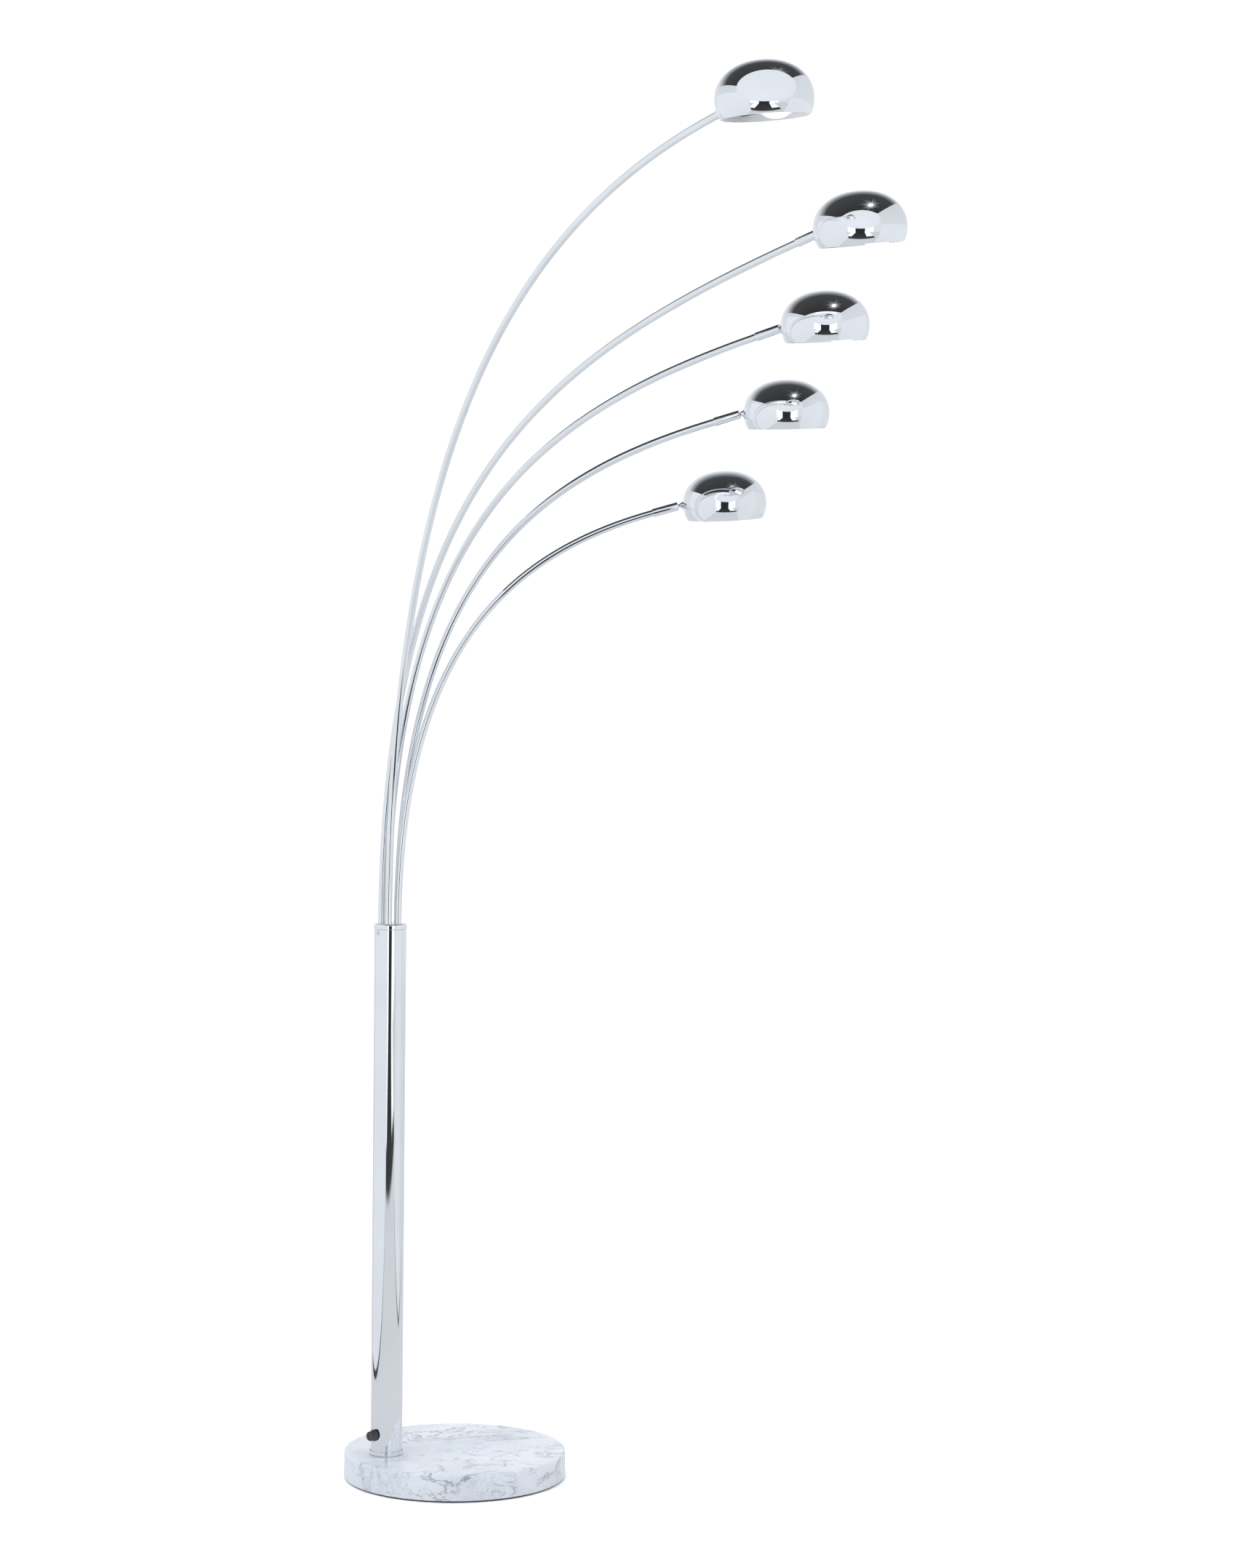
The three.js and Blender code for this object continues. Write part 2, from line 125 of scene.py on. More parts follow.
def turned(name, profile, sides, place=Matrix(), closed=True, along="X", flute=None):
    """A profile of (radius, height) points in mm, turned about an axis. An open
    profile starts and ends on the axis. A flute gives the radius's share at an angle."""
    swap = Matrix() if along == "X" else Matrix.Rotation(-math.pi / 2, 4, "Y")
    matrix = place @ swap
    verts = []
    rings = []
    for r, x in profile:
        if r < 1e-6:
            rings.append([len(verts)])
            verts.append(matrix @ Vector((x * MM, 0, 0)))
            continue
        ring = []
        for i in range(sides):
            a = 2 * math.pi * i / sides
            share = flute(a, x) if flute else 1
            ring.append(len(verts))
            y = r * share * math.cos(a) * MM
            z = r * share * math.sin(a) * MM
            verts.append(matrix @ Vector((x * MM, y, z)))
        rings.append(ring)
    pairs = list(zip(rings, rings[1:]))
    if closed:
        pairs.append((rings[-1], rings[0]))
    faces = []
    for low, high in pairs:
        if len(low) == 1 and len(high) == 1:
            continue
        for i in range(sides):
            j = (i + 1) % sides
            if len(low) == 1:
                faces.append((low[0], high[j], high[i]))
            elif len(high) == 1:
                faces.append((low[i], low[j], high[0]))
            else:
                faces.append((low[i], low[j], high[j], high[i]))
    return new_mesh(name, verts, faces)


def swept_tube(name, path, side, radius, bore, sides):
    """An open-ended tube along a path that lies in one plane; side is its normal."""
    verts = []
    rings = []
    for i, point in enumerate(path):
        before = path[max(i - 1, 0)]
        after = path[min(i + 1, len(path) - 1)]
        up = (after - before).normalized().cross(side)
        rings.append(len(verts))
        for r in (radius, bore):
            for k in range(sides):
                a = 2 * math.pi * k / sides
                verts.append(point + (side * math.cos(a) + up * math.sin(a)) * r * MM)
    faces = []
    for low, high in zip(rings, rings[1:]):
        for k in range(sides):
            j = (k + 1) % sides
            faces.append((low + k, high + k, high + j, low + j))
            bore_low, bore_high = low + sides, high + sides
            faces.append((bore_low + j, bore_high + j, bore_high + k, bore_low + k))
    first, last = rings[0], rings[-1]
    for k in range(sides):
        j = (k + 1) % sides
        faces.append((first + k, first + j, first + sides + j, first + sides + k))
        faces.append((last + j, last + k, last + sides + k, last + sides + j))
    return new_mesh(name, verts, faces)


def carved(mesh, cutters):
    """The mesh with the cutters' volumes taken away."""
    body = bpy.data.objects.new(mesh.name, mesh)
    bpy.context.scene.collection.objects.link(body)
    tools = []
    for cutter in cutters:
        tool = bpy.data.objects.new(cutter.name, cutter)
        bpy.context.scene.collection.objects.link(tool)
        modifier = body.modifiers.new(cutter.name, "BOOLEAN")
        modifier.operation = "DIFFERENCE"
        modifier.solver = "EXACT"
        modifier.object = tool
        tools.append(tool)
    bpy.context.view_layer.update()
    depsgraph = bpy.context.evaluated_depsgraph_get()
    result = bpy.data.meshes.new_from_object(body.evaluated_get(depsgraph))
    name = mesh.name
    for tool in [body, *tools]:
        bpy.data.objects.remove(tool)
    result.name = name
    result.shade_smooth()
    result.set_sharp_from_angle(angle=math.radians(SMOOTH_ANGLE))
    return result


def add(mesh, material, body, slot, *nodes):
    """Makes a piece of the object: it rides on the body, and stands for the nodes."""
    piece = bpy.data.objects.new(mesh.name, mesh)
    bpy.context.scene.collection.objects.link(piece)
    mesh.materials.clear()
    mesh.materials.append(material)
    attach(piece, body)
    if nodes:
        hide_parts(*nodes)
    return piece


# ---- Material helpers ---------------------------------------------------


class Shader:
    """One material, with short ways to add the nodes that drive its shader."""

    def __init__(self, name):
        self.material = bpy.data.materials.new(name)
        self.material.use_nodes = True
        self.tree = self.material.node_tree
        self.bsdf = self.tree.nodes["Principled BSDF"]
        self.coordinates = self.tree.nodes.new("ShaderNodeTexCoord").outputs["Object"]

    def node(self, kind, **settings):
        made = self.tree.nodes.new(kind)
        for key, value in settings.items():
            setattr(made, key, value)
        return made

    def link(self, output, target):
        self.tree.links.new(output, target)

    def fixed(self, **values):
        for key, value in values.items():
            self.bsdf.inputs[key.replace("_", " ")].default_value = value

    def stretched(self, scale, turn=(0, 0, 0)):
        mapping = self.node("ShaderNodeMapping")
        mapping.inputs["Scale"].default_value = scale
        mapping.inputs["Rotation"].default_value = [math.radians(a) for a in turn]
        self.link(self.coordinates, mapping.inputs["Vector"])
        return mapping.outputs["Vector"]

    def noise(self, scale, detail=2.0, roughness=0.5, distortion=0.0, vector=None):
        made = self.node("ShaderNodeTexNoise")
        made.inputs["Scale"].default_value = scale
        made.inputs["Detail"].default_value = detail
        made.inputs["Roughness"].default_value = roughness
        made.inputs["Distortion"].default_value = distortion
        self.link(vector or self.coordinates, made.inputs["Vector"])
        return made.outputs["Fac"]

    def ramp(self, source, *stops):
        made = self.node("ShaderNodeValToRGB")
        elements = made.color_ramp.elements
        while len(elements) < len(stops):
            elements.new(0.5)
        for element, (place, value) in zip(elements, stops):
            element.position = place
            colour = value if isinstance(value, tuple) else (value, value, value)
            element.color = (*colour, 1)
        self.link(source, made.inputs["Fac"])
        return made.outputs["Color"]

    def maths(self, operation, a, b=None):
        made = self.node("ShaderNodeMath", operation=operation)
        for socket, value in zip(made.inputs, (a, b)):
            if isinstance(value, (int, float)):
                socket.default_value = value
            elif value is not None:
                self.link(value, socket)
        return made.outputs["Value"]

    def mix(self, share, a, b):
        # A colour mix has its share and its two colours at inputs 0, 6 and 7.
        made = self.node("ShaderNodeMix", data_type="RGBA")
        for place, value in ((0, share), (6, a), (7, b)):
            socket = made.inputs[place]
            if isinstance(value, (int, float)):
                socket.default_value = value
            elif isinstance(value, tuple):
                socket.default_value = (*value, 1)
            else:
                self.link(value, socket)
        return made.outputs[2]

    def bump(self, height, strength, distance):
        made = self.node("ShaderNodeBump")
        made.inputs["Strength"].default_value = strength
        made.inputs["Distance"].default_value = distance
        self.link(height, made.inputs["Height"])
        self.link(made.outputs["Normal"], self.bsdf.inputs["Normal"])


def chrome(name, rough=(0.02, 0.06), grain=(1, 1, 1), dents=0.012):
    """Polished plate: faintly uneven in gloss and level, as plated sheet and tube are."""
    tint = (0.86, 0.87, 0.89)
    s = Shader(name)
    s.fixed(Metallic=1.0)
    smears = s.noise(22, detail=4, vector=s.stretched(grain))
    s.link(s.ramp(smears, (0.3, rough[0]), (0.75, rough[1])), s.bsdf.inputs["Roughness"])
    dull = tuple(c * 0.95 for c in tint)
    s.link(s.ramp(s.noise(9, detail=3), (0.35, dull), (0.65, tint)), s.bsdf.inputs["Base Color"])
    s.bump(s.noise(16, detail=1, vector=s.stretched(grain)), dents, 0.002)
    return s.material


def marble():
    """White marble: cloudy, with thin grey veins that wander and gather in places."""
    cloud_grey, cloud_white = (0.48, 0.52, 0.58), (0.60, 0.635, 0.68)
    haze_grey, vein_grey = (0.38, 0.42, 0.49), (0.13, 0.15, 0.19)
    s = Shader("polished_marble")
    s.fixed(IOR=1.5, Coat_Weight=0.15, Coat_Roughness=0.15)
    cloud = s.ramp(s.noise(7, detail=5), (0.3, cloud_grey), (0.7, cloud_white))
    wander = s.stretched((1, 2.2, 1.5), turn=(0, 0, 20))

    def veins(scale, distortion, width, patch_scale, low, high, seed):
        """Thin lines, and the patches that they gather in."""
        shift = s.node("ShaderNodeVectorMath", operation="ADD")
        shift.inputs[1].default_value = (seed, seed, seed)
        s.link(wander, shift.inputs[0])
        moved = shift.outputs[0]
        field = s.noise(scale, detail=9, roughness=0.66, distortion=distortion, vector=moved)
        ridge = s.maths("ABSOLUTE", s.maths("SUBTRACT", field, 0.5))
        lines = s.ramp(ridge, (0.0, 0.9), (width * 0.45, 0.6), (width, 0.0))
        spread = s.noise(patch_scale, detail=2, vector=moved)
        patches = s.ramp(spread, (low, 0.0), (high, 1.0))
        return s.maths("MULTIPLY", lines, patches), patches

    bold = veins(
        6, distortion=1.6, width=0.014, patch_scale=5.0, low=0.44, high=0.54, seed=0.0
    )[0]
    fine, crowd = veins(
        14, distortion=2.2, width=0.022, patch_scale=7.0, low=0.52, high=0.64, seed=3.7
    )
    lines = s.maths("MAXIMUM", bold, s.maths("MULTIPLY", fine, 0.7))
    mottle = s.ramp(s.noise(30, detail=6, vector=wander), (0.4, 0.0), (0.65, 0.3))
    haze = s.maths("MULTIPLY", crowd, mottle)
    clouded = s.mix(haze, cloud, haze_grey)
    s.link(s.mix(lines, clouded, vein_grey), s.bsdf.inputs["Base Color"])
    s.link(s.ramp(s.noise(40, detail=3), (0.3, 0.22), (0.7, 0.34)), s.bsdf.inputs["Roughness"])
    s.bump(lines, 0.006, -0.0003)
    return s.material


def plastic(name, colour, rough, grain=900.0, depth=0.12):
    """Moulded plastic with a fine even grain."""
    s = Shader(name)
    lighter = tuple(min(1, c * 1.25 + 0.004) for c in colour)
    tone = s.ramp(s.noise(60, detail=3), (0.35, colour), (0.7, lighter))
    dullness = s.ramp(s.noise(120, detail=2), (0.3, rough[0]), (0.7, rough[1]))
    s.link(tone, s.bsdf.inputs["Base Color"])
    s.link(dullness, s.bsdf.inputs["Roughness"])
    s.bump(s.noise(grain, detail=2), depth, 0.0002)
    return s.material


def metal(name, colour, rough, grain=(1, 1, 1)):
    """Plain plated metal, with a drawn or turned grain."""
    s = Shader(name)
    s.fixed(Metallic=1.0)
    darker = tuple(c * 0.8 for c in colour)
    lines = s.noise(160, detail=4, vector=s.stretched(grain))
    s.link(s.ramp(lines, (0.35, darker), (0.65, colour)), s.bsdf.inputs["Base Color"])
    s.link(s.ramp(lines, (0.3, rough[0]), (0.7, rough[1])), s.bsdf.inputs["Roughness"])
    s.bump(lines, 0.05, 0.0002)
    return s.material


def enamel():
    """White stove enamel, which lines the shades: a soft gloss with a faint orange peel."""
    s = Shader("white_enamel")
    s.fixed(Coat_Weight=0.3, Coat_Roughness=0.15)
    white = s.ramp(s.noise(25, detail=2), (0.3, (0.91, 0.925, 0.945)), (0.7, (0.94, 0.95, 0.965)))
    s.link(white, s.bsdf.inputs["Base Color"])
    s.link(s.ramp(s.noise(60, detail=2), (0.3, 0.3), (0.7, 0.42)), s.bsdf.inputs["Roughness"])
    s.bump(s.noise(450, detail=1), 0.08, 0.0002)
    return s.material


def opal_glass():
    """White opal glass, unlit: a clear gloss over a milky body."""
    s = Shader("opal_glass")
    s.fixed(IOR=1.5, Coat_Weight=0.6, Coat_Roughness=0.03)
    milk = s.ramp(s.noise(30, detail=2), (0.3, (0.86, 0.86, 0.85)), (0.7, (0.92, 0.92, 0.91)))
    s.link(milk, s.bsdf.inputs["Base Color"])
    s.link(s.ramp(s.noise(80, detail=2), (0.3, 0.12), (0.7, 0.2)), s.bsdf.inputs["Roughness"])
    return s.material


CHROME_SHEET = chrome("chrome_sheet")
CHROME_TUBE = chrome("chrome_tube", grain=(1, 1, 0.06), dents=0.002)
CHROME_SMALL = chrome("chrome_fittings", rough=(0.04, 0.1), dents=0.006)
ENAMEL = enamel()
MARBLE = marble()
BLACK_PLASTIC = plastic("black_plastic", (0.012, 0.012, 0.014), (0.28, 0.42))
WHITE_PLASTIC = plastic("white_plastic", (0.76, 0.75, 0.72), (0.4, 0.55))
PAD_RUBBER = plastic("pad_rubber", (0.02, 0.02, 0.022), (0.75, 0.9), grain=500, depth=0.5)
ZINC = metal("zinc_plate", (0.46, 0.47, 0.49), (0.28, 0.45))
BRASS = metal("cap_metal", (0.62, 0.56, 0.42), (0.22, 0.36))
OPAL = opal_glass()

SLOT_MATERIALS = {
    "chrome": CHROME_SHEET,
    "marble": MARBLE,
    "pad": PAD_RUBBER,
    "steel": ZINC,
    "brass": BRASS,
    "black_plastic": BLACK_PLASTIC,
    "white_plastic": WHITE_PLASTIC,
    "bulb_glass": OPAL,
}


# ---- Carried-over CAD nodes ---------------------------------------------

for part in frame["record"]["subparts"]:
    carried = frame["nodes"][part["node"]]
    carried.data.materials.clear()
    carried.data.materials.append(SLOT_MATERIALS[part["material_slot"]])


# ---- Base and pole ------------------------------------------------------

COLUMN = Matrix.Translation((POLE_X * MM, 0, 0))


def upright(name, profile, sides, place=COLUMN, closed=True):
    return turned(name, profile, sides, place, closed, along="Z")


def post(name, radius, low, high, place, sides=32, along="X"):
    """A plain cylinder, for carving a hole."""
    profile = [(0, low), (radius, low), (radius, high), (0, high)]
    return turned(name, profile, sides, place, closed=False, along=along)


def marble_disc():
    radius, top, bottom, edge = 175, 43, 2.3, 4
    profile = [
        (0, bottom),
        (radius - 1, bottom),
        (radius, bottom + 1),
        *arc(radius - edge, top - edge, edge, 0, 90, 10),
        *[(radius * share, top) for share in (0.9, 0.6, 0.3)],
        (0, top),
    ]
    return upright("marble_disc", profile, 192, Matrix(), closed=False)


def pad_disc():
    radius, thick = 171, 2
    profile = eased([(0, 0), (radius, 0), (radius, thick), (0, thick)], 0.5, closed=False)
    return upright("pad_disc", profile, 160, Matrix(), closed=False)


def pole_tube():
    inner = POLE["radius"] - POLE["wall"]
    outer, bottom, top = POLE["radius"], POLE["bottom"], POLE["top"]
    levels = [bottom + 0.4, 60, 92, 250, 450, 650, 840, top - 0.4]
    profile = [(inner, bottom), (outer - 0.4, bottom)]
    profile += [(outer, level) for level in levels]
    profile += [(outer - 0.4, top), (inner, top)]
    tube = upright("pole_tube", profile, 128)
    holes = []
    for side, heading in SCREW_HEADINGS.items():
        place = heading_matrix(heading, SCREW["height"])
        holes.append(post(f"cut_{side}", SCREW["radius"] + 0.35, *WALL_CUT, place))
    for name, fitting in (("dimmer", DIMMER), ("bushing", CORD_BUSHING)):
        place = heading_matrix(fitting["heading"], fitting["height"])
        holes.append(post(f"cut_{name}", fitting["hole"], *WALL_CUT, place))
    return carved(tube, holes)


def cap_disc(holes):
    """The pole's cap, with a flared hole for each arm."""
    radius, bottom, top, edge = CAP["radius"], CAP["bottom"], CAP["top"], CAP["edge"]
    profile = [
        (0, bottom),
        (radius - 0.3, bottom),
        (radius, bottom + 0.3),
        *arc(radius - edge, top - edge, edge, 0, 90, 10),
        (0, top),
    ]
    disc = upright("cap_disc", profile, 128, closed=False)
    bore, mouth = 6, 6.7
    flared = [
        (0, bottom - 1), (bore, bottom - 1), (bore, top - 0.7),
        (mouth, top + 0.01), (mouth, top + 1), (0, top + 1),
    ]
    cutters = []
    for number, hole in enumerate(holes):
        place = Matrix.Translation((hole.x, hole.y, 0))
        cutters.append(turned(f"cut_{number}", flared, 48, place, closed=False, along="Z"))
    return carved(disc, cutters)


def collar_ring():
    profile = eased([(25.6, 43.3), (26.5, 43.3), (26.5, 49.8), (25.6, 49.8)], 0.35)
    return upright("collar_ring", profile, 128)


def socket_screw(name, place, sizes):
    """A headless screw along +X, with a six-sided key socket in its end."""
    radius, inner, outer = sizes["radius"], sizes["inner"], sizes["outer"]
    key = radius * 0.5
    body = [(0, inner), (radius, inner), (radius, outer - 0.4), (radius - 0.4, outer), (0, outer)]
    screw = turned(name, body, 32, place, closed=False)
    socket = post(f"cut_{name}", key, outer - radius, outer + 1, place, sides=6)
    return carved(screw, [socket])


def knob():
    """A small grip knob with twelve shallow flutes and a dished end."""
    place = heading_matrix(DIMMER["heading"], DIMMER["height"])
    profile = [
        (0, 18.4), (2.8, 18.4), (2.8, 30), (6.9, 30), (6.9, 26.4),
        *arc(8.6, 26.7, 0.5, -90, 0, 3),
        (9.1, 28.4), (8.7, 29.2), (8.3, 31), (7.4, 35.9),
        *arc(6.4, 36.3, 1.0, 20, 90, 4),
        (4.4, 37.1), (3.8, 36.7), (0, 36.5),
    ]

    flutes, deepest, low, high = 12, 0.045, 29, 36.6

    def flute(angle, along):
        gripped = low < along < high
        return 1 - deepest * (0.5 + 0.5 * math.cos(flutes * angle)) if gripped else 1

    return turned("grip_knob", profile, 96, place, closed=False, flute=flute)


def bush_nut():
    place = heading_matrix(DIMMER["heading"], DIMMER["height"])
    profile = eased([(4.5, 25.4), (6.2, 25.4), (6.2, 27.2), (4.5, 27.2)], 0.3)
    return turned("bush_nut", profile, 48, place)


def lead_bushing():
    place = heading_matrix(CORD_BUSHING["heading"], CORD_BUSHING["height"])
    profile = [(2.9, 20.5), (4.4, 20.5), (4.4, 25.4), (6.6, 25.4), (5.6, 28.4), (2.9, 28.4)]
    return turned("lead_bushing", eased(profile, 0.6), 48, place)


joints = {joint["name"]: joint for joint in frame["joints"]}
arm_holes = [Vector(joints[f"arm_{n}_swivel"]["pos_m"]) for n in range(1, ARM_COUNT + 1)]

add(marble_disc(), MARBLE, "stand", "marble", "marble_base")
add(pad_disc(), PAD_RUBBER, "stand", "pad", "base_pad")
add(pole_tube(), CHROME_TUBE, "stand", "chrome", "pole")
add(cap_disc(arm_holes), CHROME_SMALL, "stand", "chrome", "pole_cap")
add(collar_ring(), CHROME_SMALL, "stand", "chrome", "foot_collar")
for side, heading in SCREW_HEADINGS.items():
    place = heading_matrix(heading, SCREW["height"])
    screw = socket_screw(f"key_screw_{side}", place, SCREW)
    add(screw, CHROME_SMALL, "stand", "chrome", f"set_screw_{side}")
add(knob(), BLACK_PLASTIC, "dimmer", "black_plastic", "dimmer_knob")
add(bush_nut(), ZINC, "stand", "steel", "dimmer_nut")
add(lead_bushing(), BLACK_PLASTIC, "stand", "black_plastic", "cord_bushing")


# ---- Arms ---------------------------------------------------------------


def arm_path(hole, mouth, out, foot_pull, end_pull):
    """Points from the arm's foot, up through the cap, over the bend and into its sleeve."""
    rise = mouth.z - hole.z
    reach = Vector((mouth.x - hole.x, mouth.y - hole.y)).length
    handles = [hole, hole + Vector((0, 0, foot_pull * rise)), mouth - out * end_pull * reach, mouth]
    foot = Vector((0, 0, FOOT_DEPTH * MM))
    points = [hole - foot, hole - foot / 2]
    steps = 150
    for i in range(steps + 1):
        t = i / steps
        weights = ((1 - t) ** 3, 3 * t * (1 - t) ** 2, 3 * t * t * (1 - t), t**3)
        points.append(sum((w * p for w, p in zip(weights, handles)), Vector()))
    points += [mouth + out * TUBE["into_sleeve"] * MM * share for share in (0.5, 1)]
    return points


def end_sleeve(name, place, screw_place):
    """Chrome sleeve: the tube goes in at its foot, and the ball stud turns at its end."""
    radius, length = SLEEVE["radius"], SLEEVE["length"]
    profile = [
        (6, 0), (radius, 0), (radius, length), (4.1, length),
        (4.1, 31), (3.5, 31), (3.5, 19.5), (6, 19.5),
    ]
    sleeve = turned(name, eased(profile, 0.5, steps=3), 64, place)
    screw_hole = post(f"cut_{name}", GRUB_SCREW["radius"] + 0.1, 5.3, 9, screw_place, sides=24)
    return carved(sleeve, [screw_hole])


def ball_stud(name, place):
    profile = [
        (0.9, -13.2), *eased([(3.6, -13.2), (3.6, -3.9), (1.8, -3.5)], 0.25, closed=False)[1:-1],
        (1.8, -3.5), *arc(0, 0, 3.2, -55.8, 73, 16), (0.9, 3.07),
    ]
    return turned(name, profile, 48, place)


def ball_socket(name, place):
    profile = [
        (4.4, 0.1), (4.4, 2.0), (4.7, 2.35), (6.0, 2.4), (6.2, 2.6), (6.2, 4.0),
        (4, 4.0), (4, 16), (2, 16), *arc(0, 0, 3.5, 55, 4, 12), (3.8, 0),
    ]
    return turned(name, profile, 48, place)


def shade_profile():
    """The shade's wall in section: up the outside from the rim, then down the inside."""

    def outline(half, rise, steps):
        start = -math.asin((SHADE["rim"] / rise) ** (SHADE["power"] / 2))
        points = []
        for i in range(steps):
            a = start + (math.pi / 2 - start) * i / steps
            r = half * abs(math.cos(a)) ** (2 / SHADE["power"])
            z = rise * math.copysign(abs(math.sin(a)) ** (2 / SHADE["power"]), a)
            points.append((r, z))
        return points

    half, rise, wall = SHADE["half"], SHADE["rise"], SHADE["wall"]
    outside = outline(half, rise, 64)
    inside = outline(half - wall, rise - wall, 56)
    rim = SHADE["rim"]
    middle = (outside[0][0] + inside[0][0]) / 2
    edge = [(inside[0][0], -rim), (middle, -rim - 0.05), (outside[0][0], -rim)]
    return [(0, rise - wall), *inside[:0:-1], *edge, *outside[1:], (0, rise)]


def shade_shell(name, place):
    profile = shade_profile()
    centre = place @ Matrix.Translation((SHADE_AXIS * MM, 0, 0))
    shell = turned(name, profile, 160, centre, closed=False, along="Z")
    return carved(shell, [post(f"cut_{name}", NIPPLE_HOLE, 0, 20, place)])


def lamp_holder(name, place):
    profile = [
        (4.4, 6.6), (9, 6.6), (16, 14.6), (17, 16.6), (17, 24), (16.4, 24.6), (16.4, 26),
        (17, 26.6), (17, 46), (14, 46), (14, 20), (2, 20), (2, 17), (4.4, 17),
    ]
    return turned(name, eased(profile, 0.7, steps=3), 64, place)


def bulb_cap(name, place):
    """The bulb's screw cap: five rounded turns of thread behind a plain skirt."""
    thread = []
    turns, start, pitch = 5, 27.0, 3.3
    for i in range(turns * 8 + 1):
        x = start + pitch * i / 8
        thread.append((12.7 + 0.5 * math.cos(2 * math.pi * i / 8), x))
    profile = [(0, 20.8), (4.6, 20.8), (5, 21.4), (11.8, 25.6), *thread, (13.2, 45.7), (0, 45.7)]
    return turned(name, profile, 64, place, closed=False)


def bulb_glass(name, place):
    """The globe bulb: its neck opens out of the cap and runs smoothly into the globe."""
    centre, radius = BULB["centre"], BULB["radius"]
    neck_radius, neck_low, neck_high = 12.6, 46, 58

    def skin(inset):
        globe = arc(0, centre, radius - inset, -50, 86, 40)
        neck_end = Vector((neck_radius - inset, neck_low))
        lead = Vector((neck_radius - inset, neck_high))
        joined = Vector(globe[0])
        blend = []
        steps = 12
        for i in range(steps):
            t = i / steps
            point = (1 - t) ** 2 * neck_end + 2 * t * (1 - t) * lead + t * t * joined
            blend.append(tuple(point))
        return [*blend, *globe]

    outside = skin(0)
    inside = skin(1)
    profile = [(0, centre + radius - 1), *inside[::-1], *outside, (0, centre + radius)]
    return turned(name, profile, 72, place, closed=False)


def build_arm(number):
    """One arm with everything on it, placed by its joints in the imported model."""
    index = number - 1
    hole = arm_holes[index]
    ball = Vector(joints[f"shade_{number}_roll"]["pos_m"])
    out = Vector(joints[f"shade_{number}_roll"]["axis"]).normalized()
    tilt_axis = -Vector(joints[f"shade_{number}_tilt"]["axis"]).normalized()
    mouth = ball - out * (SLEEVE["length"] + BALL_BEYOND_SLEEVE) * MM
    level_side = Vector((-out.y, out.x, 0)).normalized()
    slope = math.asin(out.z)

    arm = f"arm_{number}"
    path = arm_path(hole, mouth, out, FOOT_PULL[index], END_PULL[index])
    tube = swept_tube(f"bent_tube_{number}", path, level_side, TUBE["radius"], TUBE["bore"], 48)
    add(tube, CHROME_TUBE, arm, "chrome", f"arm_tube_{number}")

    sleeve_axes = Matrix((out, level_side, out.cross(level_side))).transposed().to_4x4()
    sleeve_place = Matrix.Translation(mouth) @ sleeve_axes
    # The sleeve's grub screw is near its mouth, up and to one side.
    screw_turn = Matrix.Rotation(math.radians(GRUB_SCREW["turn"]), 4, "X")
    screw_turn = screw_turn @ Matrix.Rotation(-math.pi / 2, 4, "Y")
    along_sleeve = Matrix.Translation((GRUB_SCREW["from_mouth"] * MM, 0, 0))
    screw_place = sleeve_place @ along_sleeve @ screw_turn
    sleeve = end_sleeve(f"sleeve_{number}", sleeve_place, screw_place)
    add(sleeve, CHROME_SMALL, arm, "chrome", f"end_sleeve_{number}")
    grub = socket_screw(f"grub_screw_{number}", screw_place, GRUB_SCREW)
    add(grub, ZINC, arm, "chrome")

    rolled = Matrix((out, tilt_axis, out.cross(tilt_axis))).transposed().to_4x4()
    ball_place = Matrix.Translation(ball) @ rolled
    stud = ball_stud(f"stud_{number}", ball_place)
    add(stud, CHROME_SMALL, f"knuckle_{number}", "chrome", f"ball_stud_{number}")

    head = f"head_{number}"
    turn = slope - math.radians(REST_TILT[index])
    place = ball_place @ Matrix.Rotation(turn, 4, "Y")
    cup = ball_socket(f"cup_{number}", place)
    add(cup, CHROME_SMALL, head, "chrome", f"ball_socket_{number}")
    dome = shade_shell(f"dome_{number}", place)
    shell = add(dome, CHROME_SHEET, head, "chrome", f"shade_{number}")
    line_inside(shell, place)
    holder = lamp_holder(f"holder_{number}", place)
    add(holder, BLACK_PLASTIC, head, "black_plastic", f"lamp_holder_{number}")
    add(bulb_cap(f"screw_cap_{number}", place), BRASS, head, "brass", f"bulb_cap_{number}")
    add(bulb_glass(f"globe_{number}", place), OPAL, head, "bulb_glass", f"bulb_glass_{number}")


def line_inside(shell, place):
    """Gives the faces that look into the shade its white lining."""
    mesh = shell.data
    mesh.materials.append(ENAMEL)
    centre = place @ Vector((SHADE_AXIS * MM, 0, 0))
    for face in mesh.polygons:
        if face.normal.dot(face.center - centre) < 0:
            face.material_index = 1


for number in range(1, ARM_COUNT + 1):
    build_arm(number)


# ---- Studio -------------------------------------------------------------

# The studio's own directions: its origin is the pole's foot, +X is to the
# camera's right and +Y is away from the camera.
STUDIO_TURN = Matrix.Rotation(math.radians(-20), 4, "Z")
STUDIO = COLUMN @ STUDIO_TURN


def studio_world():
    world = bpy.data.worlds.new("studio")
    world.use_nodes = True
    background = world.node_tree.nodes["Background"]
    background.inputs["Color"].default_value = (0.985, 0.99, 1.0, 1)
    background.inputs["Strength"].default_value = 1.12
    bpy.context.scene.world = world


